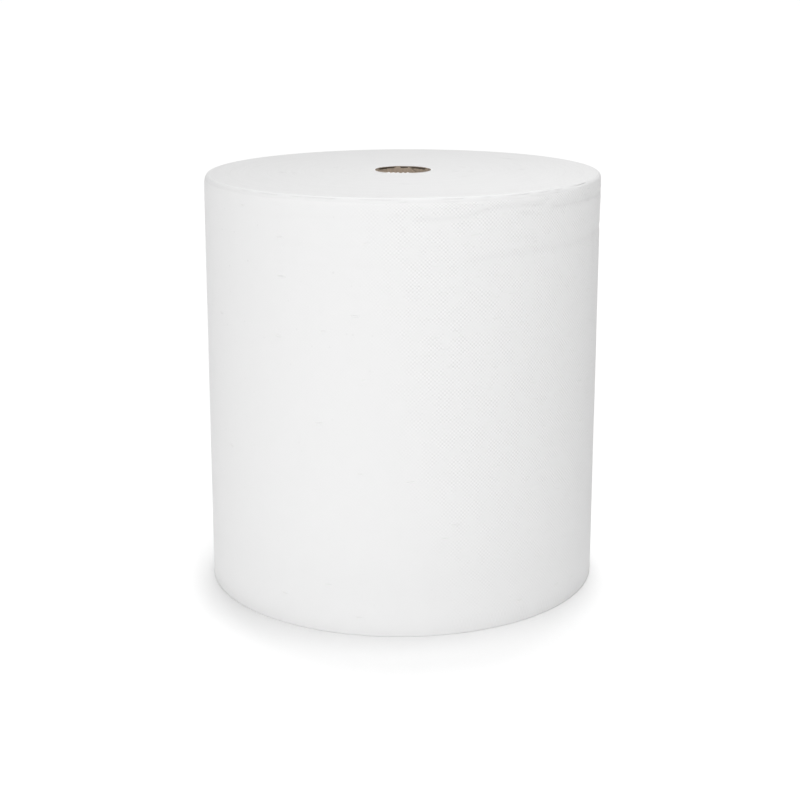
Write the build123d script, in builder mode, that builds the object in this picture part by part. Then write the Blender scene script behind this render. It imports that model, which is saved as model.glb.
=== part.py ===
from build123d import *
from math import cos, radians, sin, sqrt
import os

# A large roll of white cleaning cloth, wound on a cardboard core and standing on one end.
# Millimetres, +Z up. The origin is at the centre of the foot, on the axis of the core.

# The wound cloth
cloth_width = 320.0
roll_radius = 152.5
# Both ends of the side are rounded, more along the roll than across it, by this many bevels in a row.
shoulder_width = 2.3
shoulder_height = 6.0
shoulder_bevels = 3
# The cloth's own thickness is the step that its free end makes down the side of the roll.
cloth_thickness = 0.6
# The free end lies on the far side, this far round from +X.
tail_angle = 118.0

# The turns next to the core have slid up the most, so the upper end is crowned and the foot is hollow.
crown_height = 1.6
# The line between the turns that shows on the ends is one spiral, which starts this far out from the
# hole in the cloth and stops this far short of the side.
shown_turns = 8
hole_margin = 9.1
side_margin = 8.5
line_width = 1.3
line_depth = 0.8

# The core
core_bore_radius = 19.05
core_wall = 2.5
# The cloth is wound this close to the core.
core_clearance = 0.2

# Every cut runs this far past what it cuts.
overrun = 2.0

quarters = 4
quarter_turn = 90.0
half_quarter = quarter_turn / 2

core_radius = core_bore_radius + core_wall
cloth_bore_radius = core_radius + core_clearance
first_line_radius = cloth_bore_radius + hole_margin
last_line_radius = roll_radius - side_margin
turn_pitch = (last_line_radius - first_line_radius) / shown_turns
line_half_width = line_width / 2
blank_top = cloth_width + crown_height + overrun
# The flat ring between the last line and the rounded shoulder, and its middle, where the cuts end.
rim_inner_radius = last_line_radius + line_half_width
rim_outer_radius = roll_radius - cloth_thickness - shoulder_width
rim_middle_radius = (rim_inner_radius + rim_outer_radius) / 2


def direction(angle):
    """The level direction this many degrees round from +X."""
    return Vector(cos(radians(angle)), sin(radians(angle)), 0)


def quarter_plane(quarter, growth):
    """The upright plane in which one quarter of a turn starts, local X outwards and local Y up.

    A turn that grows by the given amount is four arcs that meet without a corner. Their centres are
    the corners of a square round the axis, and each arc is larger than the last by the square's side.
    """
    start_angle = tail_angle + quarter * quarter_turn
    side = growth / quarters
    centre = direction(start_angle + quarter_turn + half_quarter) * (side / sqrt(2))
    return Plane(origin=centre, x_dir=direction(start_angle), z_dir=direction(start_angle - quarter_turn))


def quarter_axis(plane):
    """The upright axis through a quarter's own centre."""
    return Axis(plane.origin, (0, 0, 1))


def side_outline(quarter):
    """The section of the wound cloth in one quarter, before the edges of the turns are cut."""
    side_radius = roll_radius - cloth_thickness + cloth_thickness * (quarter + 1) / quarters
    shoulder = []
    for bevel in range(shoulder_bevels + 1):
        angle = radians(quarter_turn) * bevel / shoulder_bevels
        shoulder.append((side_radius - shoulder_width * (1 - cos(angle)), shoulder_height * (1 - sin(angle))))
    outline = [(core_bore_radius, 0)]
    outline += reversed(shoulder)
    outline += [(radius, cloth_width - height) for radius, height in shoulder]
    outline += [(rim_inner_radius, cloth_width), (rim_inner_radius, blank_top), (core_bore_radius, blank_top)]
    return outline


def end_outline(quarter, face_height, clear_height, inwards):
    """The section of what is cut off one end in one quarter, down to the edges of the turns.

    inwards is -1 where the lines run down into the upper end, and 1 where they run up into the foot.
    """
    grown = turn_pitch * quarter / quarters
    step = crown_height / shown_turns
    points = [(core_bore_radius, clear_height), (core_bore_radius, face_height + crown_height)]
    for turn in range(shown_turns):
        line_radius = first_line_radius + turn_pitch * turn + grown
        edge_height = face_height + crown_height - step * turn
        points.append((line_radius - line_half_width, edge_height))
        points.append((line_radius, edge_height + inwards * line_depth))
        points.append((line_radius + line_half_width, edge_height - step))
    points.append((rim_middle_radius, face_height))
    points.append((rim_middle_radius, clear_height))
    return points


# The wound cloth: four quarter turns, whose ends leave the free end's step
with BuildPart() as cloth_roll:
    for quarter in range(quarters):
        plane = quarter_plane(quarter, cloth_thickness)
        with BuildSketch(plane):
            with BuildLine():
                Polyline(*side_outline(quarter), close=True)
            make_face()
        revolve(axis=quarter_axis(plane), revolution_arc=quarter_turn)

    # The edges of the turns on the upper end and on the foot
    for face_height, clear_height, inwards in ((cloth_width, blank_top + overrun, -1), (0, -overrun, 1)):
        for quarter in range(quarters):
            plane = quarter_plane(quarter, turn_pitch)
            with BuildSketch(plane):
                with BuildLine():
                    Polyline(*end_outline(quarter, face_height, clear_height, inwards), close=True)
                make_face()
            revolve(axis=quarter_axis(plane), revolution_arc=quarter_turn, mode=Mode.SUBTRACT)

    # The bore that the core fills
    with BuildSketch(Plane.XY.offset(-overrun)):
        Circle(cloth_bore_radius)
    extrude(amount=blank_top + 2 * overrun, mode=Mode.SUBTRACT)


# The core: a cardboard tube as long as the cloth is wide, sawn flush with its innermost turns
with BuildPart() as core_tube:
    with BuildSketch(Plane.XY.offset(crown_height)):
        Circle(core_radius)
        Circle(core_bore_radius, mode=Mode.SUBTRACT)
    extrude(amount=cloth_width)


os.makedirs("parts", exist_ok=True)
cloth_roll.part.label = "cloth_roll"
export_step(cloth_roll.part, "parts/cloth_roll.step")
core_tube.part.label = "core_tube"
export_step(core_tube.part, "parts/core_tube.step")
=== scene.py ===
# A large roll of white embossed cleaning cloth, wound on a cardboard core and standing on one end.
from math import atan2, cos, degrees, exp, hypot, pi, radians, sin, tau

import bmesh
import bpy
from bpy.props import FloatProperty, FloatVectorProperty, IntProperty, PointerProperty
from bpy.types import Operator, Panel, PropertyGroup
from mathutils import Matrix, Vector, noise


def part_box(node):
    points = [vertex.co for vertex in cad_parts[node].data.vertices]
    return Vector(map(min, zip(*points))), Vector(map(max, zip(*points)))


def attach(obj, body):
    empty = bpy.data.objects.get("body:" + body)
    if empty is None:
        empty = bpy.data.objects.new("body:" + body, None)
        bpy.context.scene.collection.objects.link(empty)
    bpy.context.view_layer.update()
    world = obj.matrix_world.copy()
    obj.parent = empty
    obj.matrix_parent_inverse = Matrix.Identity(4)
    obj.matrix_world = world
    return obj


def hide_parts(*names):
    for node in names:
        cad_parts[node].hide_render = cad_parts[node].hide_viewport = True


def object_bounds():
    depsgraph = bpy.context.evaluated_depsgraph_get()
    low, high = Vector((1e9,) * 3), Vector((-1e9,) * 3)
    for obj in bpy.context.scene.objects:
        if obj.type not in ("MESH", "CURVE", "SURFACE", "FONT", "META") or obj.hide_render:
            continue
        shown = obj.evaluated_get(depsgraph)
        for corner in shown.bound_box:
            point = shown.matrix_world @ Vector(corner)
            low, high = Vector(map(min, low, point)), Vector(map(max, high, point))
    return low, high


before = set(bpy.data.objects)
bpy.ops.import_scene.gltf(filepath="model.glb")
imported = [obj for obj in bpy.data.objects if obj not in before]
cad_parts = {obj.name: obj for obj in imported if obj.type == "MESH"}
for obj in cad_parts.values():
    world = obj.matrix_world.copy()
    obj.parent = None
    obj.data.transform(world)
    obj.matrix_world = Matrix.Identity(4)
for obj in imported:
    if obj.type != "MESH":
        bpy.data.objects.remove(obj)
cad_low, cad_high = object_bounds()
cloth_low, cloth_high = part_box("cloth_roll")
core_low, core_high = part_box("core_tube")

bl_info = {
    "name": "Cleaning Cloth Roll",
    "version": (1, 0, 0),
    "blender": (4, 5, 0),
    "location": "3D View > Sidebar > Cloth Roll",
    "description": "Models a large roll of embossed cleaning cloth on its cardboard core",
    "category": "Object",
}

mm = 0.001
# Places that lie closer together than this are the same.
tiny = 1e-6
# The cloth is wound this close to the core.
core_clearance = 0.2 * mm

# Places on the roll are given as a bearing, in degrees from the front towards the right, and as a
# height above the floor or a distance from the axis, in millimetres.
tail_bearing = 208.0
# The cut edge of the free end leans back over this length of the side.
tail_run = 0.25 * mm

# The upper end isn't quite square to the axis. This is how much higher than its even height it stands
# at its middle, and how much more towards the right and towards the back, in millimetres.
end_lean, lean_right, lean_back = -0.91, 1.23, 1.05
# The lean shows above this share of the height. The core's upper end lies this much below the cloth's.
lean_from, core_sunk = 0.76, 0.5
# The upper end has slid up by this share of the crown, and the foot by the whole of it.
crown_share = 0.7
# Next to the side, the ends follow the growth of the outermost turn over this width.
growth_width = 20.0 * mm

# The outermost turn parts from the rest this far round the rounded edge of the upper end, as a share of
# the way from the side to the end. Where it is loose, the crevice is this deep, and the turn's own edge
# hangs down and stands out by these, in millimetres.
crevice_share = 0.70
crevice_depth, edge_drop, edge_rise = 1.6, 0.8, 0.15
# The rows of faces across that rounded edge lie at these shares.
rim_rows = (0.86, crevice_share + 0.05, crevice_share + 0.02, crevice_share, crevice_share - 0.02,
            crevice_share - 0.05)
# Rows of faces lie close together in this ring round the hole, and on the side above these heights.
hole_ring = 3.0 * mm
dented_from, folded_from = 200.0 * mm, 265.0 * mm
# Where the bore, the upper end and the foot lie beside the side in the web's map.
bore_in_map, upper_end_in_map, foot_in_map = (0.66, 0.34), (0.16, 0.50), (0.48, 0.50)

# That rounded edge is sharper on the right, and the side is crumpled below it on the left: bearing, half
# length. It is crumpled more and more from the first to the second of these heights, and less and less
# from the third to the fourth.
sharper_edge, crumpled_cloth = (92.0, 40.0), (-75.0, 7.0)
crumpled_heights = (286.0, 296.0, 312.0, 318.0)
# Painted shade greys the cloth in this band below the upper rim, and on the outermost turns of the ends,
# to this share of its brightness, toning down the highlight on the rounded edge.
rim_band, painted_rim_shade = 3.0 * mm, 0.955
# Edges that are bent by more than this stay sharp.
sharp_angle = radians(55.0)

# Folds pressed into the side: depth, half width, then the bearing and height of each point in turn.
side_folds = (
    (0.55, 1.7, ((3.3, 303.0), (8.9, 303.5), (16.6, 304.3), (20.4, 307.3), (26.2, 310.0), (41.1, 309.8))),
    (0.50, 1.7, ((33.4, 304.1), (37.2, 303.7))),
    (0.80, 2.2, ((44.8, 306.8), (57.0, 306.7), (70.1, 306.5), (84.0, 307.0))),
    (0.45, 2.8, ((18.6, 274.2), (28.8, 275.9), (41.9, 277.1), (56.5, 277.1), (70.1, 279.4), (88.0, 280.0))),
    (0.20, 1.9, ((29.7, 286.3), (38.1, 285.7))),
    (0.10, 2.0, ((-36.8, 300.5), (-20.0, 303.2), (-4.3, 304.8), (3.0, 304.2))),
    (0.08, 2.2, ((-34.0, 282.2), (-4.4, 284.0), (20.0, 283.4))),
    (0.08, 2.2, ((-36.0, 268.6), (-4.4, 270.0), (16.0, 269.8))),
)
# Shallow dents in the side: depth, bearing, height, half width and half height.
side_dents = (
    (0.45, 69.7, 260.0, 5.0, 26.0),
    (0.30, 71.5, 220.0, 5.0, 16.0),
    (0.25, 64.5, 311.0, 16.0, 4.0),
    (0.25, 69.9, 175.4, 4.0, 6.0),
    (-0.40, 82.0, 306.0, 34.0, 9.0),
)
# Dents in the upper end: depth, bearing, distance from the axis, half length round and half width across.
end_dents = (
    (0.45, -82.8, 93.0, 4.0, 1.8),
    (0.35, -80.2, 84.0, 7.0, 1.6),
    (0.25, -108.0, 54.5, 4.0, 2.0),
    (-0.25, -63.0, 139.0, 2.5, 1.8),
    (-0.25, -50.6, 106.4, 2.5, 1.8),
    (0.25, 72.5, 42.5, 5.0, 1.8),
    (0.25, 106.9, 49.0, 5.0, 1.8),
    (0.20, 76.7, 53.5, 5.0, 1.8),
    (0.20, 48.0, 62.0, 5.0, 1.8),
    (0.30, 131.7, 116.0, 7.0, 3.0),
    (0.35, 91.6, 92.0, 4.0, 2.0),
    (0.20, 1.2, 82.0, 4.0, 3.0),
    (0.45, -6.6, 144.2, 2.5, 1.6),
)
# Where the outermost turn stands away from the one below it along the upper rim: bearing, half length.
loose_rims = (
    (-47.9, 1.2), (-38.2, 3.2), (-29.4, 1.3), (-22.5, 4.8), (-6.1, 5.4), (13.2, 2.7), (22.6, 0.8),
    (32.8, 3.2), (41.1, 1.6), (47.0, 1.0), (58.0, 4.0),
)
# Where the core's innermost ply has come away from the others at its upper end: bearing, half length.
loose_plies = ((-133.0, 29.0), (177.0, 9.0), (138.0, 23.0), (60.0, 30.0), (-50.0, 18.0))
# Across that end of the core lie the innermost ply, a gap, and the lip of the other plies over it. The
# first place is in the bore, and the others lie this far past the innermost ply. Where it has come away,
# each place goes this far out and up, in millimetres, and is darkened by this share of painted shade.
past_ply = (0.0, 0.07, 0.25, 0.31, 0.37, 0.45)
ply_shifts = (
    (0.10, -1.35), (0.0, -1.40), (0.10, -3.1), (0.80, -3.1), (0.75, -0.55), (-0.45, -0.38), (-0.45, 0.0),
)
ply_gap_shade = (0.0, 0.5, 1.0, 1.0, 1.0, 0.9, 0.5)
# The innermost cloth is crushed in over the core here: bearing, half length. It stands in ripples, this
# many round the hole.
crushed_cloth, hole_ripples = (-8.0, 24.0), 34.0
# The saw has left both ends of the core uneven, and its flutes deeper, over about these lengths.
end_reach, worn_reach = 12.0 * mm, 9.0 * mm

# The camera stands here, in metres, and is turned by these angles.
camera_place = (0.00135, -1.1875, 0.4580)
camera_tilt, camera_pan, camera_roll = radians(90.0 - 12.411), radians(-1.9605), radians(0.5006)
camera_lens, camera_shift = 69.189, (-0.0700, -0.0931)
# The surroundings are brightest this way, in front and a little to the left, and dimmest on the right.
brightest_way, dimmest_way = (-0.17, -0.985, 0.0), (0.97, 0.24, 0.0)
# The lamps over the floor lean this far to the right, and the first of them this far to the back.
overhead_side, behind_side, overhead_tilt = radians(2.0), radians(0.2), radians(1.1)
# How wide the two lamps above the roll look from it.
sky_width, upper_width = radians(170.0), radians(50.0)
# The key light is this far from the roll's axis and above the floor, and this wide. Then the fill light.
key_distance, key_height, key_size = 1.6, 0.38, 0.66
fill_place, fill_size = (0.10, -0.12, 0.72), 0.35


class ClothSizes(PropertyGroup):
    """Sizes and colour of the wound cloth."""

    turn_thickness: FloatProperty(
        name="Cloth thickness", description="Thickness of one turn, which is the step at the free end",
        default=0.6 * mm, min=0.1 * mm, unit="LENGTH")
    shoulder_width: FloatProperty(
        name="Shoulder width", description="How far in the rounded edge of each end reaches",
        default=2.4 * mm, min=0.1 * mm, unit="LENGTH")
    shoulder_height: FloatProperty(
        name="Shoulder height", description="How far along the side the rounded edge of each end reaches",
        default=8.0 * mm, min=0.1 * mm, unit="LENGTH")
    crown: FloatProperty(
        name="Crown", description="How far the innermost turns have slid up along the core",
        default=1.6 * mm, min=0.0, unit="LENGTH")
    shown_turns: IntProperty(
        name="Shown turns", description="How many turns of the line between the turns show on each end",
        default=8, min=1)
    hole_margin: FloatProperty(
        name="Hole margin", description="How far from the hole the line between the turns starts",
        default=9.1 * mm, min=0.0, unit="LENGTH")
    side_margin: FloatProperty(
        name="Side margin", description="How far from the side the line between the turns stops",
        default=8.5 * mm, min=0.0, unit="LENGTH")
    columns: IntProperty(
        name="Columns", description="How many columns of faces go round the roll",
        default=352, min=48)
    cell_width: FloatProperty(
        name="Cell width", description="Distance round the roll from one dot to the next in its row",
        default=2.83 * mm, min=0.5 * mm, unit="LENGTH")
    cell_height: FloatProperty(
        name="Cell height", description="Distance up the roll from one row of dots to the next but one",
        default=2.83 * mm, min=0.5 * mm, unit="LENGTH")
    dot_depth: FloatProperty(
        name="Dot depth", description="How deep the embossed dots are pressed",
        default=0.13 * mm, min=0.0, unit="LENGTH")
    colour: FloatVectorProperty(
        name="Cloth colour", description="Colour of the bleached fibre",
        default=(0.79, 0.79, 0.79), min=0.0, max=1.0, size=3, subtype="COLOR")


class CoreSizes(PropertyGroup):
    """Sizes and colour of the cardboard core."""

    wall: FloatProperty(
        name="Wall", description="Thickness of the core's wall",
        default=2.5 * mm, min=0.5 * mm, unit="LENGTH")
    inner_ply: FloatProperty(
        name="Inner ply", description="Thickness of the innermost ply, which has come away at its end",
        default=0.55 * mm, min=0.1 * mm, unit="LENGTH")
    seam_pitch: FloatProperty(
        name="Seam pitch", description="How far up the core the seam inside it climbs in one turn",
        default=76.0 * mm, min=1.0 * mm, unit="LENGTH")
    flutes: IntProperty(
        name="Flutes", description="How many shallow flutes go round the inside of the core",
        default=36, min=3)
    flute_depth: FloatProperty(
        name="Flute depth", description="How deep the flutes are at the ends of the core",
        default=0.16 * mm, min=0.0, unit="LENGTH")
    colour: FloatVectorProperty(
        name="Card colour", description="Colour of the plain brown card",
        default=(0.56, 0.46, 0.365), min=0.0, max=1.0, size=3, subtype="COLOR")


class StageSizes(PropertyGroup):
    """Floor, light and camera."""

    floor_size: FloatProperty(
        name="Floor size", description="Width and length of the white floor",
        default=240.0, min=1.0, unit="LENGTH")
    surround_strength: FloatProperty(
        name="Surround", description="Brightness of the white surroundings",
        default=0.40, min=0.0)
    overhead_strength: FloatProperty(
        name="Overhead", description="Strength of the lamp on the floor from straight above",
        default=1.31, min=0.0)
    behind_strength: FloatProperty(
        name="Behind", description="Strength of the lamp on the floor from above and behind",
        default=0.89, min=0.0)
    behind_tilt: FloatProperty(
        name="Tilt behind", description="How far the lamp behind leans towards the back",
        default=radians(14.7), subtype="ANGLE")
    lamp_width: FloatProperty(
        name="Lamp width", description="How wide each lamp overhead looks from the floor",
        default=radians(13.2), subtype="ANGLE")
    sky_strength: FloatProperty(
        name="Sky", description="Strength of the even light on the roll from everywhere above",
        default=0.30, min=0.0)
    upper_strength: FloatProperty(
        name="Upper", description="Strength of the soft light on the roll from straight above",
        default=1.05, min=0.0)
    key_power: FloatProperty(
        name="Key power", description="Power of the large soft light in front, to the left",
        default=3.9, min=0.0, unit="POWER")
    key_bearing: FloatProperty(
        name="Key bearing", description="Direction of the key light from the front of the roll",
        default=radians(-14.0), subtype="ANGLE")
    fill_power: FloatProperty(
        name="Fill power", description="Power of the small soft light close above the roll",
        default=0.60, min=0.0, unit="POWER")


class WoundRoll:
    """The sizes of the wound cloth that follow from the frame and from its own settings."""

    def __init__(self, cloth):
        across = (cloth_high.x - cloth_low.x + cloth_high.y - cloth_low.y) / 2
        self.outer = across / 2 + cloth.turn_thickness / 2
        self.bore = (core_high.x - core_low.x) / 2 + core_clearance
        self.top = cloth_high.z - cloth.crown
        self.first_line = self.bore + cloth.hole_margin
        self.last_line = self.outer - cloth.side_margin
        self.pitch = (self.last_line - self.first_line) / cloth.shown_turns

    def crowned(self, radius):
        """The share of the crown's height at this distance from the axis."""
        share = (radius - self.first_line) / (self.last_line - self.first_line)
        return 1.0 - min(max(share, 0.0), 1.0)


def within(bearing, centre, half_length):
    """One in the middle of a stretch of bearings, falling smoothly to nothing past its ends."""
    away = abs((bearing - centre + 180.0) % 360.0 - 180.0)
    fade = 0.35 * half_length + 0.6
    share = min(max((half_length + fade / 2 - away) / fade, 0.0), 1.0)
    return share * share * (3.0 - 2.0 * share)


def ramp(value, low, high):
    """Nothing below low, one above high, and smooth between them."""
    share = min(max((value - low) / (high - low), 0.0), 1.0)
    return share * share * (3.0 - 2.0 * share)


def bell(distance, half_width):
    """One at no distance, falling away on both sides."""
    return exp(-(distance / half_width) ** 2)


def bearing_of(place):
    """Degrees from the front of the roll towards its right."""
    return degrees(atan2(place.x, -place.y))


def lean(place_x, place_y, height, roll):
    """How much higher a place stands because the upper end isn't square, in metres."""
    full = end_lean + lean_right * place_x / roll.outer + lean_back * place_y / roll.outer
    return full * mm * ramp(height, lean_from * roll.top, roll.top)


def turn_section(shape, corners, columns, bearing):
    """Turns a closed section round the axis. Each corner has its radius, height and the cuts after it."""
    angle = radians(bearing)
    points = []
    for radius, height, _ in corners:
        points.append(shape.verts.new((radius * sin(angle), -radius * cos(angle), height)))
    following = points[1:] + points[:1]
    edges = [shape.edges.new(ends) for ends in zip(points, following)]
    for edge, (_, _, cuts) in zip(edges, corners):
        if cuts:
            bmesh.ops.subdivide_edges(shape, edges=[edge], cuts=cuts)
    bmesh.ops.spin(
        shape, geom=shape.verts[:] + shape.edges[:], cent=(0, 0, 0), axis=(0, 0, 1), dvec=(0, 0, 0),
        angle=tau, steps=columns, use_merge=True)
    bmesh.ops.recalc_face_normals(shape, faces=shape.faces[:])
    shape.verts.index_update()


def finished_piece(name, shape, materials, node):
    """Makes the object of a finished shape, which stands for a node of the frame."""
    mesh = bpy.data.meshes.new(name)
    shape.to_mesh(mesh)
    shape.free()
    for material in materials:
        mesh.materials.append(material)
    mesh.shade_smooth()
    mesh.set_sharp_from_angle(angle=sharp_angle)
    piece = bpy.data.objects.new(name, mesh)
    bpy.context.scene.collection.objects.link(piece)
    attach(piece, "root")
    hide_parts(node)
    return piece


def new_node(tree, kind, inputs=None, **settings):
    """Adds a node to a material, with its settings, and with its inputs set or linked."""
    node = tree.nodes.new(kind)
    for name, value in settings.items():
        setattr(node, name, value)
    for socket, value in (inputs or {}).items():
        if isinstance(value, bpy.types.NodeSocket):
            tree.links.new(value, node.inputs[socket])
        else:
            node.inputs[socket].default_value = value
    return node


def sums(tree, operation, *values):
    """The result of one Math node."""
    return new_node(tree, "ShaderNodeMath", dict(enumerate(values)), operation=operation).outputs[0]


def product(tree, first, *others):
    """Some values multiplied together."""
    for other in others:
        first = sums(tree, "MULTIPLY", first, other)
    return first


def vectors(tree, operation, *values, output=0):
    """The result of one Vector Math node."""
    node = new_node(tree, "ShaderNodeVectorMath", dict(enumerate(values)), operation=operation)
    return node.outputs[output]


def parts_of(tree, vector):
    """The three parts of a vector or a colour."""
    return new_node(tree, "ShaderNodeSeparateXYZ", {0: vector}).outputs


def fit_range(tree, value, low, high, new_low, new_high, smooth=True):
    """A value brought smoothly from one range into another."""
    kind = "SMOOTHSTEP" if smooth else "LINEAR"
    inputs = {"Value": value, "From Min": low, "From Max": high, "To Min": new_low, "To Max": new_high}
    return new_node(tree, "ShaderNodeMapRange", inputs, interpolation_type=kind).outputs["Result"]


def speckle(tree, place, size, detail=2.0):
    """Soft noise with spots of about this size, in metres."""
    inputs = {"Vector": place, "Scale": 1.0 / size, "Detail": detail, "Roughness": 0.55}
    return new_node(tree, "ShaderNodeTexNoise", inputs).outputs["Fac"]


def blend_colours(tree, share, first, second):
    """The first colour where share is nothing, and the second where it is one."""
    node = new_node(tree, "ShaderNodeMix", {"Factor": share}, data_type="RGBA")
    # A colour mix has its two colours in the sockets numbered 6 and 7, and gives its result in number 2.
    for socket, colour in ((6, first), (7, second)):
        if isinstance(colour, bpy.types.NodeSocket):
            tree.links.new(colour, node.inputs[socket])
        else:
            node.inputs[socket].default_value = (*colour, 1.0)
    return node.outputs[2]


def layered(tree, colour, *layers):
    """A colour with others laid over it, each with the share that it covers."""
    for share, over in layers:
        colour = blend_colours(tree, share, colour, over)
    return colour


def shaded(colour, share):
    """A colour made darker or lighter by a share."""
    return tuple(min(part * share, 1.0) for part in colour)


def new_material(name):
    """A material with its shader."""
    material = bpy.data.materials.new(name)
    material.use_nodes = True
    return material, material.node_tree, material.node_tree.nodes["Principled BSDF"]


def raise_surface(tree, shader, *layers):
    """Gives a material its bump from some patterns, each with how high it stands."""
    height = 0.0
    for pattern, rise in layers:
        height = sums(tree, "MULTIPLY_ADD", pattern, rise, height)
    bump = new_node(tree, "ShaderNodeBump", {"Height": height, "Distance": 1.0}).outputs[0]
    tree.links.new(bump, shader.inputs["Normal"])


def round_the_axis(tree):
    """A place, its level part, its distance from the axis, and its turn round the axis from +X."""
    place = new_node(tree, "ShaderNodeTexCoord").outputs["Object"]
    parts = parts_of(tree, place)
    across = new_node(tree, "ShaderNodeCombineXYZ", {0: parts[0], 1: parts[1]}).outputs[0]
    radius = vectors(tree, "LENGTH", across, output=1)
    turned = sums(tree, "DIVIDE", sums(tree, "ARCTAN2", parts[1], parts[0]), tau)
    return place, across, radius, turned


def spots(tree, place, size, channel, least, most):
    """Small spots, each in a cell of this size, where one channel of the cell's own colour is high."""
    cells = new_node(tree, "ShaderNodeTexVoronoi", {"Vector": place, "Scale": 1.0 / size})
    near_middle = fit_range(tree, cells.outputs["Distance"], 0.06, 0.12, 1.0, 0.0)
    own = parts_of(tree, cells.outputs["Color"])[channel]
    return product(tree, near_middle, fit_range(tree, own, least, most, 0.0, 1.0))


def paint_dent_shade(tree, colour, cloth, most):
    """Paints shade into a colour where the cloth is folded or dented, darkening it by up to this share of
    the way to grey.
    """
    deep = new_node(tree, "ShaderNodeAttribute", attribute_name="pressed_in").outputs["Fac"]
    share = fit_range(tree, deep, 0.0, 1.0, 0.0, most, smooth=False)
    return blend_colours(tree, share, colour, shaded(cloth.colour, 0.7))


def embossed_dots(tree, web, cloth, top):
    """Rows of small pressed dots on the web, how crisp they are, and how far up the roll they lie."""
    # The dots drift a little from their rows, because the cloth has stretched as it was wound.
    drift = new_node(tree, "ShaderNodeTexNoise", {"Vector": web, "Scale": 28.0, "Detail": 1.0})
    centred = vectors(tree, "SUBTRACT", drift.outputs["Color"], (0.5, 0.5, 0.5))
    place = vectors(tree, "ADD", web, vectors(tree, "MULTIPLY", centred, (1.6 * mm,) * 3))
    along, up, _ = parts_of(tree, place)
    round_wave = sums(tree, "COSINE", product(tree, along, tau / cloth.cell_width))
    up_wave = sums(tree, "COSINE", product(tree, up, tau / cloth.cell_height))
    # They are crisper on the right, where the outer turns lie looser, and fade towards the foot.
    slanted = sums(tree, "MULTIPLY_ADD", up, 0.18, along)
    crisp = product(
        tree, fit_range(tree, slanted, 0.418, 0.474, 0.06, 1.0),
        fit_range(tree, along, 0.72, 0.82, 1.0, 0.5),
        fit_range(tree, up, 30.0 * mm, 150.0 * mm, 0.4, 1.0))
    # They come and go in patches, are pressed unevenly, and end just below the rounded edge of the roll.
    patchy = fit_range(tree, speckle(tree, web, 11.0 * mm, 3.0), 0.36, 0.58, 0.10, 1.1)
    firm = fit_range(tree, speckle(tree, web, 3.6 * mm, 1.0), 0.32, 0.68, 0.40, 1.45)
    ended = fit_range(tree, up, top - rim_band, top, 1.0, 0.0)
    dots = product(tree, round_wave, up_wave, patchy, crisp, ended, firm)
    return dots, crisp, up


def embossed_cloth(cloth, top):
    """The side: soft nonwoven cloth with rows of small pressed dots that follow the web, painted shade in
    the dots, folds, dents, by the free end and on the rounded edge, and painted light by the foot.
    """
    material, tree, shader = new_material("Embossed cloth")
    web = new_node(tree, "ShaderNodeUVMap", uv_map="web").outputs["UV"]
    dots, crisp, up = embossed_dots(tree, web, cloth, top)
    fibres = speckle(tree, web, 1.1 * mm, 4.0)
    lumps = speckle(tree, web, 9.0 * mm)
    # The wrinkles and the lint are drawn out along the web.
    drawn = new_node(tree, "ShaderNodeMapping", {"Vector": web, "Scale": (0.22, 1.0, 1.0)}).outputs[0]
    wrinkles = fit_range(tree, speckle(tree, drawn, 2.2 * mm, 1.0), 0.60, 0.74, 0.0, 1.0)
    lint = spots(tree, drawn, 7.0 * mm, 0, 0.55, 0.60)
    raise_surface(
        tree, shader, (dots, -0.5 * cloth.dot_depth), (lint, 0.24 * mm), (fibres, 0.03 * mm),
        (product(tree, lumps, crisp), 0.07 * mm), (product(tree, wrinkles, crisp), 0.16 * mm))
    patches = fit_range(tree, speckle(tree, web, 14.0 * mm, 3.0), 0.3, 0.7, -0.5, 0.5)
    # Painted shade: the pits of the dots are coloured darker, and patches vary the tone at random.
    tone = sums(tree, "MULTIPLY_ADD", dots, 0.5, 0.5)
    tone = sums(tree, "MULTIPLY_ADD", patches, 0.03, tone)
    pit_shade_and_tone = blend_colours(tree, tone, shaded(cloth.colour, 1.09), shaded(cloth.colour, 0.915))
    # Painted shade darkens the folds and dents in the side.
    pit_shade_and_tone = paint_dent_shade(tree, pit_shade_and_tone, cloth, 0.15)
    # Single dots and specks show here and there, more of them near the upper end.
    specks = spots(tree, web, 9.0 * mm, 1, 0.48, 0.56)
    specks = product(tree, specks, fit_range(tree, up, 150.0 * mm, 290.0 * mm, 0.3, 1.0))
    # Painted light makes the cloth whiter by the foot, and painted shade makes it greyer on the rounded
    # edge.
    low = fit_range(tree, up, 0.0, 45.0 * mm, 0.6, 0.0)
    rounded = fit_range(tree, up, top - rim_band, top - 0.5 * mm, 0.0, 1.0)
    # A painted shadow darkens the turn below the free end, beside its edge.
    beside = fit_range(tree, parts_of(tree, web)[0], 0.0, 1.8 * mm, 0.6, 0.0)
    finished = layered(
        tree, pit_shade_and_tone, (specks, shaded(cloth.colour, 0.935)), (low, shaded(cloth.colour, 1.085)),
        (beside, shaded(cloth.colour, 0.6)), (rounded, shaded(cloth.colour, painted_rim_shade)))
    tree.links.new(finished, shader.inputs["Base Color"])
    tree.links.new(fit_range(tree, fibres, 0.3, 0.7, 0.86, 0.98), shader.inputs["Roughness"])
    shader.inputs["Specular IOR Level"].default_value = 0.12
    return material


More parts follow.
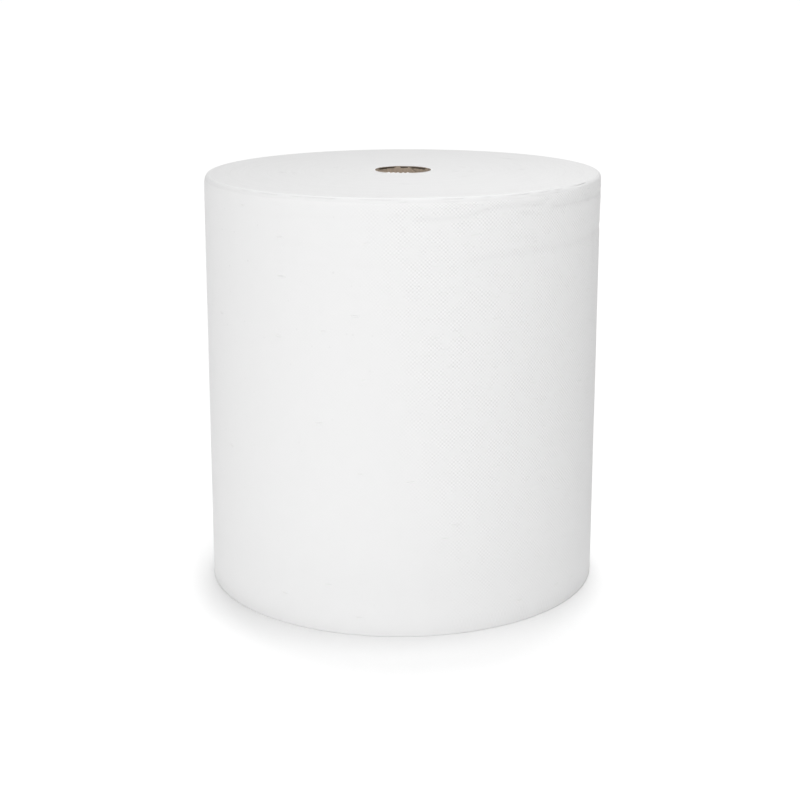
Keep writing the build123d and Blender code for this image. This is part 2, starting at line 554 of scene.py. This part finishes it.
def turn_edges(cloth, roll):
    """The ends: the cut edges of several hundred turns, with painted shade along a line where some stand
    apart, in the dents and by the rim, and a painted highlight round the hole.
    """
    material, tree, shader = new_material("Edges of the turns")
    place, across, radius, turned = round_the_axis(tree)
    ahead = parts_of(tree, vectors(tree, "NORMALIZE", across))

    def streaks(width, along, detail=2.0):
        """Noise drawn out round the roll, in bands of about this width."""
        bands = new_node(tree, "ShaderNodeCombineXYZ", {
            0: sums(tree, "DIVIDE", radius, width),
            1: product(tree, ahead[0], along),
            2: product(tree, ahead[1], along)}).outputs[0]
        inputs = {"Vector": bands, "Scale": 1.0, "Detail": detail}
        return new_node(tree, "ShaderNodeTexNoise", inputs).outputs["Fac"]

    # The edge of each turn shows, as one fine spiral that wanders a little.
    turns = sums(tree, "SUBTRACT", sums(tree, "DIVIDE", radius, cloth.turn_thickness), turned)
    wander = sums(tree, "MULTIPLY_ADD", streaks(9.0 * mm, 4.0), 1.6, turns)
    edges = sums(tree, "COSINE", product(tree, wander, tau))
    # The line where turns stand apart, a shallow groove with painted shade along it, starts at the free
    # end, whose angle from +X is a quarter turn less than its bearing.
    grown = sums(tree, "DIVIDE", sums(tree, "SUBTRACT", radius, roll.first_line), roll.pitch)
    apart = sums(tree, "ADD", sums(tree, "SUBTRACT", grown, turned), (tail_bearing - 90.0) / 360.0)
    off_line = sums(tree, "ABSOLUTE", sums(tree, "WRAP", apart, 0.5, -0.5))
    line = product(
        tree, fit_range(tree, off_line, 0.0, 0.05, 1.0, 0.0),
        fit_range(tree, radius, roll.first_line - roll.pitch / 2, roll.first_line, 0.0, 1.0),
        fit_range(tree, streaks(40.0 * mm, 3.0), 0.35, 0.6, 0.25, 1.0))
    bands = streaks(1.8 * mm, 3.0, 3.0)
    fuzz = speckle(tree, place, 0.8 * mm, 3.0)
    raise_surface(
        tree, shader, (edges, 0.025 * mm), (bands, 0.035 * mm), (fuzz, 0.07 * mm), (line, -0.06 * mm))
    tone = fit_range(tree, bands, 0.3, 0.7, 0.0, 1.0)
    plain = blend_colours(tree, tone, shaded(cloth.colour, 0.982), shaded(cloth.colour, 1.0))
    # A painted highlight brightens the innermost turns round the hole, and painted shade greys the
    # outermost turns by the rim.
    hole_highlight = fit_range(tree, radius, roll.bore, roll.bore + 2.0 * mm, 1.0, 0.0)
    outer_rim_shade = fit_range(tree, radius, roll.outer - 3.5 * mm, roll.outer - 1.5 * mm, 0.0, 1.0)
    greyed = layered(
        tree, plain, (product(tree, line, 0.10), shaded(cloth.colour, 0.75)),
        (hole_highlight, shaded(cloth.colour, 1.14)), (outer_rim_shade, shaded(cloth.colour, painted_rim_shade)))
    # Painted shade darkens the dents in the upper end.
    greyed = paint_dent_shade(tree, greyed, cloth, 0.6)
    tree.links.new(greyed, shader.inputs["Base Color"])
    shader.inputs["Roughness"].default_value = 0.95
    shader.inputs["Specular IOR Level"].default_value = 0.2
    return material


def brown_card(core):
    """The core: plain brown card in wound plies, with fibres along it and a helical seam inside."""
    material, tree, shader = new_material("Brown card")
    place, _, radius, turned = round_the_axis(tree)
    stretched = new_node(tree, "ShaderNodeMapping", {"Vector": place, "Scale": (1.0, 1.0, 0.12)}).outputs[0]
    grain = speckle(tree, stretched, 1.3 * mm, 4.0)
    mottle = speckle(tree, place, 6.0 * mm, 3.0)
    specks = fit_range(tree, speckle(tree, place, 0.5 * mm), 0.62, 0.72, 0.0, 1.0)
    # The plies show on the sawn ends, and the seam of the innermost one inside.
    facing = new_node(tree, "ShaderNodeNewGeometry").outputs["Normal"]
    upward = sums(tree, "ABSOLUTE", parts_of(tree, facing)[2])
    on_end = fit_range(tree, upward, 0.6, 0.9, 0.0, 1.0)
    plies = sums(tree, "COSINE", product(tree, radius, tau / core.inner_ply))
    ply_lines = product(tree, fit_range(tree, plies, 0.3, 1.0, 0.0, 1.0), on_end)
    helix = sums(tree, "SUBTRACT", sums(tree, "DIVIDE", parts_of(tree, place)[2], core.seam_pitch), turned)
    off_seam = sums(tree, "ABSOLUTE", sums(tree, "WRAP", helix, 0.5, -0.5))
    seam = product(
        tree, fit_range(tree, off_seam, 0.004, 0.012, 1.0, 0.0), sums(tree, "SUBTRACT", 1.0, on_end))
    raise_surface(
        tree, shader, (grain, 0.12 * mm), (mottle, 0.15 * mm), (seam, -0.2 * mm), (ply_lines, -0.1 * mm))
    tone = fit_range(tree, grain, 0.35, 0.65, 0.0, 1.0)
    plain = blend_colours(tree, tone, shaded(core.colour, 0.86), shaded(core.colour, 1.10))
    # Painted shade darkens the gap where the plies have parted.
    gap = new_node(tree, "ShaderNodeAttribute", attribute_name="gap").outputs["Fac"]
    card = layered(
        tree, plain, (product(tree, mottle, 0.5), shaded(core.colour, 0.92)),
        (product(tree, specks, 0.5), shaded(core.colour, 0.6)),
        (product(tree, ply_lines, 0.55), shaded(core.colour, 0.5)),
        (product(tree, seam, 0.6), shaded(core.colour, 0.45)),
        (on_end, shaded(core.colour, 0.42)), (gap, shaded(core.colour, 0.30)))
    tree.links.new(card, shader.inputs["Base Color"])
    tree.links.new(fit_range(tree, grain, 0.3, 0.7, 0.8, 0.92), shader.inputs["Roughness"])
    shader.inputs["Specular IOR Level"].default_value = 0.3
    return material


def white_floor():
    """Smooth white paper."""
    material, tree, shader = new_material("White paper")
    place = new_node(tree, "ShaderNodeTexCoord").outputs["Object"]
    pulp = speckle(tree, place, 2.5 * mm, 3.0)
    paper = blend_colours(tree, pulp, (0.965, 0.965, 0.965), (0.985, 0.985, 0.985))
    tree.links.new(paper, shader.inputs["Base Color"])
    shader.inputs["Roughness"].default_value = 0.9
    shader.inputs["Specular IOR Level"].default_value = 0.1
    return material


def distance_to_fold(bearing, height, points, roll_radius):
    """How far a place on the side lies from the nearest point of a fold, in millimetres."""
    nearest = None
    for (first, first_height), (last, last_height) in zip(points, points[1:]):
        run = radians(last - first) * roll_radius
        rise = last_height - first_height
        along = radians(bearing - first) * roll_radius
        share = (along * run + (height - first_height) * rise) / (run * run + rise * rise)
        kept = min(max(share, 0.0), 1.0)
        away_round = along - kept * run
        away_up = height - first_height - kept * rise
        distance = hypot(away_round, away_up)
        if nearest is None or distance < nearest:
            nearest = distance
    return nearest


def side_depth(bearing, height, roll_radius):
    """How deep the side is pressed in by its folds and dents at a place, in millimetres."""
    deep = 0.0
    for depth, half_width, points in side_folds:
        reach = 3.0 * half_width
        level = (min(point[1] for point in points) - reach, max(point[1] for point in points) + reach)
        spread = degrees(reach / roll_radius)
        if level[0] < height < level[1] and points[0][0] - spread < bearing < points[-1][0] + spread:
            deep += depth * bell(distance_to_fold(bearing, height, points, roll_radius), half_width)
    for depth, dent_bearing, dent_height, half_width, half_height in side_dents:
        away = radians(bearing - dent_bearing) * roll_radius
        if abs(away) < 3 * half_width and abs(height - dent_height) < 3 * half_height:
            deep += depth * bell(away, half_width) * bell(height - dent_height, half_height)
    return deep


def side_relief(bearing, height, roll_radius):
    """How far the side stands out at a place because it is softly uneven, in millimetres."""
    angle = radians(bearing)
    place = Vector((roll_radius * sin(angle), -roll_radius * cos(angle), height))
    slack = 0.3 + 0.7 * ramp(bearing, -15.0, 20.0) * (1.0 - ramp(bearing, 110.0, 150.0))
    relief = 0.08 * slack * noise.noise(place / 11.0) + 0.10 * noise.noise(place / 60.0)
    starts, full, fades, ends = crumpled_heights
    crumpled = ramp(height, starts, full) * (1.0 - ramp(height, fades, ends))
    crumpled *= within(bearing, *crumpled_cloth)
    if crumpled > 0.0:
        relief += 0.35 * crumpled * noise.noise(place / 4.5)
    return relief


def end_depth(bearing, radius):
    """How deep the upper end is pressed in by its dents at a place, in millimetres."""
    deep = 0.0
    for depth, dent_bearing, dent_radius, half_length, half_width in end_dents:
        away = radians((bearing - dent_bearing + 180.0) % 360.0 - 180.0) * dent_radius
        if abs(away) < 3 * half_length and abs(radius - dent_radius) < 3 * half_width:
            deep += depth * bell(away, half_length) * bell(radius - dent_radius, half_width)
    return deep


def end_relief(bearing, radius, turned, roll, shown_turns):
    """How high the upper end stands at a place, in millimetres, above its even crown."""
    angle = radians(bearing)
    ahead = Vector((0.0, sin(angle), cos(angle)))
    relief = 0.08 * noise.noise(ahead * 2.0 + Vector((radius / 9.0, 0.0, 0.0)))
    relief += 0.05 * noise.noise(ahead * 4.0 + Vector((radius / 3.2, 7.0, 0.0)))
    line = (radius * mm - roll.first_line) / roll.pitch - turned
    nearest = min(max(round(line), 0), shown_turns - 1)
    relief -= 0.07 * bell((line - nearest) * roll.pitch / mm, 1.5)
    return relief


class ROLL_OT_wind_cloth(Operator):
    """Model the wound cloth and dress it"""

    bl_idname = "cloth_roll.wind_cloth"
    bl_label = "Wind Cloth"

    def execute(self, context):
        cloth = context.scene.cloth_roll_cloth
        roll = WoundRoll(cloth)
        shape = bmesh.new()
        turn_section(shape, self.section(cloth, roll), cloth.columns, tail_bearing)
        blank = self.places(shape, cloth)
        self.map_web(shape, cloth, roll, blank)
        self.shape_cloth(shape, cloth, roll, blank)
        materials = (embossed_cloth(cloth, roll.top), turn_edges(cloth, roll))
        finished_piece("wound_cloth", shape, materials, "cloth_roll")
        return {"FINISHED"}

    def section(self, cloth, roll):
        """The section of the blank, a thick plain tube, with rows close together where the cloth bends."""
        width, drop = cloth.shoulder_width, cloth.shoulder_height
        bore, outer, top = roll.bore, roll.outer, roll.top
        corners = [(bore, 0.0, 3), (bore, top - hole_ring, 3), (bore, top, 5), (bore + hole_ring, top, 80)]
        corners += [(outer - width, top, 0)]
        corners += [(self.rim_radius(cloth, roll, share), top, 0) for share in rim_rows]
        corners[-1] = (*corners[-1][:2], 2)
        corners += [(outer, top, 5), (outer, top - drop, 29), (outer, folded_from, 19)]
        corners += [(outer, dented_from, 42), (outer, drop, 3), (outer, 0.0, 3)]
        corners += [(outer - width, 0.0, 36), (bore + hole_ring, 0.0, 1)]
        return corners

    def rim_radius(self, cloth, roll, share):
        """Where a row of the rounded edge lies on the blank's square one."""
        return roll.outer - 2.0 * cloth.shoulder_width * (share - 0.5)

    def places(self, shape, cloth):
        """The radius, height and column of every place on the blank. The columns start at the free end."""
        step = tau / cloth.columns
        tail = radians(tail_bearing - 90.0)
        blank = {}
        for vertex in shape.verts:
            radius, height = hypot(vertex.co.x, vertex.co.y), vertex.co.z
            column = round(((atan2(vertex.co.y, vertex.co.x) - tail) % tau) / step) % cloth.columns
            blank[vertex.index] = (radius, height, column)
        return blank

    def map_web(self, shape, cloth, roll, blank):
        """Maps the side as one web, with the bore and both ends beside it, and gives them materials."""
        bore, outer, top = roll.bore, roll.outer, roll.top
        rim_from = self.rim_radius(cloth, roll, crevice_share)
        web = shape.loops.layers.uv.new("web")
        for face in shape.faces:
            corners = [blank[vertex.index] for vertex in face.verts]
            wraps = {0, cloth.columns - 1} <= {column for _, _, column in corners}
            on_side = all(radius > outer - tiny for radius, _, _ in corners)
            on_rim = all(radius > rim_from - tiny and height > top - tiny for radius, height, _ in corners)
            in_bore = all(radius < bore + tiny for radius, _, _ in corners)
            face.material_index = 0 if on_side or on_rim else 1
            for loop in face.loops:
                radius, height, column = blank[loop.vert.index]
                turn = 1.0 if wraps and column == 0 else column / cloth.columns
                if on_side or on_rim:
                    if height > top - cloth.shoulder_height - tiny:
                        height = top - (top - height) * self.sharpness(bearing_of(loop.vert.co))
                    loop[web].uv = (turn * tau * outer, height)
                elif in_bore:
                    loop[web].uv = (bore_in_map[0] + turn * tau * bore, bore_in_map[1] + height)
                else:
                    middle = upper_end_in_map if height > top / 2 else foot_in_map
                    loop[web].uv = (middle[0] + loop.vert.co.x, middle[1] + loop.vert.co.y)

    def shape_cloth(self, shape, cloth, roll, blank):
        """Brings every place of the blank to where it lies on the roll."""
        thickness, width, drop = cloth.turn_thickness, cloth.shoulder_width, cloth.shoulder_height
        bore, outer, top = roll.bore, roll.outer, roll.top
        pressed_in = shape.verts.layers.float.new("pressed_in")
        for vertex in shape.verts:
            radius, height, column = blank[vertex.index]
            on_upper_end = height > top - tiny
            turned = column / cloth.columns
            if column == cloth.columns - 1:
                turned = 1.0 - tail_run / (tau * outer)
            angle = radians(tail_bearing - 90.0) + turned * tau
            bearing = (degrees(angle) + 90.0 + 180.0) % 360.0 - 180.0
            out = outer - thickness * (1.0 - turned)
            if radius > outer - width - tiny and (height > top - drop - tiny or height < drop + tiny):
                radius, height = self.shoulder(cloth, roll, radius, height, bearing, out)
            elif radius > outer - tiny:
                radius = out
            height += lean(radius * cos(angle), radius * sin(angle), height, roll)
            if radius > outer - width - thickness:
                # The side is firmer towards the foot and at the rounded edge.
                lift = ramp(height, 0.0, 30.0 * mm) * (1.0 - 0.75 * ramp(height, top - 5.0 * mm, top))
                deep = side_depth(bearing, height / mm, outer / mm) * lift
                vertex[pressed_in] = deep
                radius += (side_relief(bearing, height / mm, outer / mm) * lift - deep) * mm
            elif on_upper_end:
                radius += (out - outer) * ramp(radius, outer - growth_width, outer - width)
                deep = end_depth(bearing, radius / mm)
                vertex[pressed_in] = deep
                relief = end_relief(bearing, radius / mm, turned, roll, cloth.shown_turns) - deep
                height += crown_share * cloth.crown * roll.crowned(radius)
                height += relief * mm * (1.0 - ramp(radius, outer - 5.0 * mm, outer - width))
                radius, height = self.hole_edge(radius, height, bearing, bore)
            elif height < tiny:
                radius += (out - outer) * ramp(radius, outer - growth_width, outer - width)
                height = cloth.crown * roll.crowned(radius)
            elif radius < bore + tiny:
                height += cloth.crown * (height / top)
            vertex.co = (radius * cos(angle), radius * sin(angle), height)

    def sharpness(self, bearing):
        """The share of the shoulder's height that is left, as the upper edge is sharper on the right."""
        return 1.0 - 0.65 * within(bearing, *sharper_edge)

    def shoulder(self, cloth, roll, radius, height, bearing, out):
        """Rounds an edge of the blank, and parts the outermost turn from the rest where it is loose."""
        width, drop = cloth.shoulder_width, cloth.shoulder_height
        upper = height > roll.top / 2
        from_end = roll.top - height if upper else height
        if from_end > tiny:
            share = 0.5 * (1.0 - from_end / drop)
        else:
            share = 0.5 + 0.5 * (roll.outer - radius) / width
        angle = share * pi / 2
        inset = width * (1.0 - max(cos(angle), 0.0) ** 1.25)
        from_end = drop * (1.0 - sin(angle))
        if not upper:
            # The weight on the foot keeps its edge sharper.
            return out - 0.15 * inset, 0.10 * from_end
        from_end *= self.sharpness(bearing)
        radius = out - inset
        height = roll.top - from_end
        loose = max(within(bearing, centre, half_length) for centre, half_length in loose_rims)
        uneven = 0.5 + 0.5 * noise.noise(Vector((bearing / 3.0, 0.0, 0.0)))
        loose *= 0.6 + 0.4 * uneven
        if abs(share - crevice_share) < 0.005:
            height -= crevice_depth * loose * mm
            radius -= 0.05 * loose * mm
        elif share < crevice_share:
            height -= edge_drop * loose * ramp(share, 0.25, crevice_share - 0.05) * mm
            radius += edge_rise * loose * ramp(share, 0.2, 0.6) * mm
        return radius, height

    def hole_edge(self, radius, height, bearing, bore):
        """Turns the innermost turns in over the core where they are crushed, and lowers them in front."""
        away = (radius - bore) / mm
        if away > 6.0:
            return radius, height
        angle = radians(bearing)
        ripple = 0.5 + 0.5 * cos(angle * hole_ripples + 0.8 * sin(angle * 5.0))
        uneven = 0.9 + 0.4 * noise.noise(Vector((bearing / 9.0, 3.0, 0.0)))
        turned_in = within(bearing, *crushed_cloth) * (0.45 + 0.55 * ripple) * uneven
        height -= 0.9 * bell(away, 2.5) * (0.5 + 0.5 * cos(angle)) * mm
        height += 1.15 * turned_in * bell(away - 0.9, 1.3) * mm
        radius -= 2.2 * turned_in * bell(away, 1.3) * mm
        return radius, height


class ROLL_OT_fit_core(Operator):
    """Model the cardboard core and dress it"""

    bl_idname = "cloth_roll.fit_core"
    bl_label = "Fit Core"

    def execute(self, context):
        core = context.scene.cloth_roll_core
        outer = (core_high.x - core_low.x) / 2
        inner = outer - core.wall
        foot, top = core_low.z, core_high.z
        across_end = [0.0] + [core.inner_ply + past * mm for past in past_ply]
        corners = [(inner, foot, 7), (inner, foot + end_reach, 14), (inner, top - end_reach, 11)]
        corners += [(inner + across, top, 0) for across in across_end]
        corners += [(inner + 1.6 * mm, top, 1), (outer, top, 3)]
        corners += [(outer, top - 6.0 * mm, 4), (outer, foot, 3)]
        shape = bmesh.new()
        turn_section(shape, corners, 6 * core.flutes, 0.0)
        gap = shape.verts.layers.float.new("gap")
        for vertex in shape.verts:
            angle = atan2(vertex.co.y, vertex.co.x)
            bearing = bearing_of(vertex.co)
            radius, height = hypot(vertex.co.x, vertex.co.y), vertex.co.z
            loose = max(within(bearing, centre, half_length) for centre, half_length in loose_plies)
            ragged = noise.noise(Vector((6.6 * cos(angle), 6.6 * sin(angle), 0.0)))
            near_end = bell(top - height, worn_reach) + bell(height - foot, worn_reach)
            if radius < inner + tiny:
                radius += cos(core.flutes * angle) * core.flute_depth * (0.25 + 0.75 * near_end)
                sunk = (0.15 + 1.2 * loose + 0.25 * ragged) * ramp(height, top - end_reach, top)
                height -= sunk * mm
                radius += 0.10 * loose * ramp(height, top - 8.0 * mm, top) * mm
            elif height > top - tiny:
                if radius < inner + across_end[-1] + tiny:
                    away = [abs(inner + across - radius) for across in across_end]
                    place = away.index(min(away))
                    out, up = ply_shifts[place]
                    radius += out * loose * mm
                    height += (up * loose + 0.25 * ragged * (place < 2) - 0.15 * (place < 5)) * mm
                    # Painted shade in the gap between the parted plies.
                    vertex[gap] = loose * ply_gap_shade[place]
                else:
                    height += 0.12 * ragged * mm
                    if radius > outer - tiny:
                        height -= 0.15 * mm
            height += (end_lean - core_sunk) * mm * ramp(height, lean_from * top, top)
            vertex.co = (radius * cos(angle), radius * sin(angle), height)
        finished_piece("core_card", shape, (brown_card(core),), "core_tube")
        return {"FINISHED"}


class ROLL_OT_set_stage(Operator):
    """Lay the floor, hang the lights and stand the camera"""

    bl_idname = "cloth_roll.set_stage"
    bl_label = "Set Stage"

    def execute(self, context):
        scene, stage = context.scene, context.scene.cloth_roll_stage
        self.lay_floor(scene, stage)
        self.hang_lights(scene, stage)
        self.stand_camera(scene)
        scene.view_settings.view_transform = "Standard"
        scene.view_settings.look = "None"
        return {"FINISHED"}

    def lay_floor(self, scene, stage):
        """A large white sheet of paper under the roll."""
        shape = bmesh.new()
        bmesh.ops.create_grid(shape, x_segments=2, y_segments=2, size=stage.floor_size / 2)
        mesh = bpy.data.meshes.new("floor")
        shape.to_mesh(mesh)
        shape.free()
        mesh.materials.append(white_floor())
        floor = bpy.data.objects.new("floor", mesh)
        scene.collection.objects.link(floor)

    def hang_lights(self, scene, stage):
        """White surroundings, soft light from above, and two soft lamps in front and close above."""
        world = bpy.data.worlds.new("White studio")
        world.use_nodes = True
        tree = world.node_tree
        ahead = new_node(tree, "ShaderNodeTexCoord").outputs["Generated"]
        bright = vectors(tree, "DOT_PRODUCT", ahead, brightest_way, output=1)
        dim = vectors(tree, "DOT_PRODUCT", ahead, dimmest_way, output=1)
        strength = fit_range(tree, bright, -1.0, 1.0, 0.0, 2.0 * stage.surround_strength, smooth=False)
        strength = product(tree, strength, fit_range(tree, dim, 0.4, 0.95, 1.0, 0.6))
        tree.nodes["Background"].inputs["Color"].default_value = (1.0, 1.0, 1.0, 1.0)
        tree.links.new(strength, tree.nodes["Background"].inputs["Strength"])
        scene.world = world

        roll = ("wound_cloth", "core_card")
        overhead = self.hang_light(scene, "overhead", "SUN", stage.overhead_strength, ("floor",))
        overhead.rotation_euler = (-overhead_tilt, overhead_side, 0.0)
        behind = self.hang_light(scene, "behind", "SUN", stage.behind_strength, ("floor",))
        behind.rotation_euler = (-stage.behind_tilt, behind_side, 0.0)
        sky = self.hang_light(scene, "sky", "SUN", stage.sky_strength, roll)
        upper = self.hang_light(scene, "upper", "SUN", stage.upper_strength, roll)
        widths = (stage.lamp_width, stage.lamp_width, sky_width, upper_width)
        for lamp, lamp_width in zip((overhead, behind, sky, upper), widths):
            lamp.data.angle = lamp_width

        key = self.hang_light(scene, "key", "AREA", stage.key_power, roll)
        side, front = sin(stage.key_bearing), -cos(stage.key_bearing)
        self.face_roll(key, (key_distance * side, key_distance * front, key_height), key_size)
        fill = self.hang_light(scene, "fill", "AREA", stage.fill_power, roll)
        self.face_roll(fill, fill_place, fill_size)

    def hang_light(self, scene, name, kind, strength, lit):
        """A light that falls only on the named things."""
        data = bpy.data.lights.new(name, kind)
        data.energy = strength
        light = bpy.data.objects.new(name, data)
        light.visible_camera = False
        scene.collection.objects.link(light)
        reached = bpy.data.collections.new("lit by the " + name)
        for piece in lit:
            reached.objects.link(bpy.data.objects[piece])
        light.light_linking.receiver_collection = reached
        return light

    def face_roll(self, light, place, size):
        """Stands a square soft light somewhere, turned towards the middle of the roll."""
        light.data.shape = "SQUARE"
        light.data.size = size
        light.location = place
        aim = Vector((0.0, 0.0, cad_high.z / 2)) - light.location
        light.rotation_euler = aim.to_track_quat("-Z", "Y").to_euler()

    def stand_camera(self, scene):
        """The camera, a little above the roll and in front of it."""
        data = bpy.data.cameras.new("camera")
        data.sensor_width = 36.0
        data.lens = camera_lens
        data.shift_x, data.shift_y = camera_shift
        camera = bpy.data.objects.new("camera", data)
        turn = Matrix.Translation(camera_place)
        for angle, axis in ((camera_pan, "Z"), (camera_tilt, "X"), (camera_roll, "Z")):
            turn = turn @ Matrix.Rotation(angle, 4, axis)
        camera.matrix_world = turn
        scene.collection.objects.link(camera)
        scene.camera = camera


class ROLL_PT_sidebar(Panel):
    """The steps and sizes of the cloth roll"""

    bl_idname = "ROLL_PT_sidebar"
    bl_label = "Cloth Roll"
    bl_space_type = "VIEW_3D"
    bl_region_type = "UI"
    bl_category = "Cloth Roll"

    def draw(self, context):
        scene = context.scene
        for sizes, step in (
            (scene.cloth_roll_cloth, ROLL_OT_wind_cloth),
            (scene.cloth_roll_core, ROLL_OT_fit_core),
            (scene.cloth_roll_stage, ROLL_OT_set_stage),
        ):
            box = self.layout.box()
            for name in sizes.bl_rna.properties.keys():
                if name not in {"rna_type", "name"}:
                    box.prop(sizes, name)
            box.operator(step.bl_idname)


classes = (
    ClothSizes, CoreSizes, StageSizes,
    ROLL_OT_wind_cloth, ROLL_OT_fit_core, ROLL_OT_set_stage, ROLL_PT_sidebar,
)


def register():
    for made in classes:
        bpy.utils.register_class(made)
    bpy.types.Scene.cloth_roll_cloth = PointerProperty(type=ClothSizes)
    bpy.types.Scene.cloth_roll_core = PointerProperty(type=CoreSizes)
    bpy.types.Scene.cloth_roll_stage = PointerProperty(type=StageSizes)


def unregister():
    del bpy.types.Scene.cloth_roll_stage
    del bpy.types.Scene.cloth_roll_core
    del bpy.types.Scene.cloth_roll_cloth
    for made in reversed(classes):
        bpy.utils.unregister_class(made)


def main():
    register()
    bpy.ops.cloth_roll.wind_cloth()
    bpy.ops.cloth_roll.fit_core()
    bpy.ops.cloth_roll.set_stage()


if __name__ == "__main__":
    main()
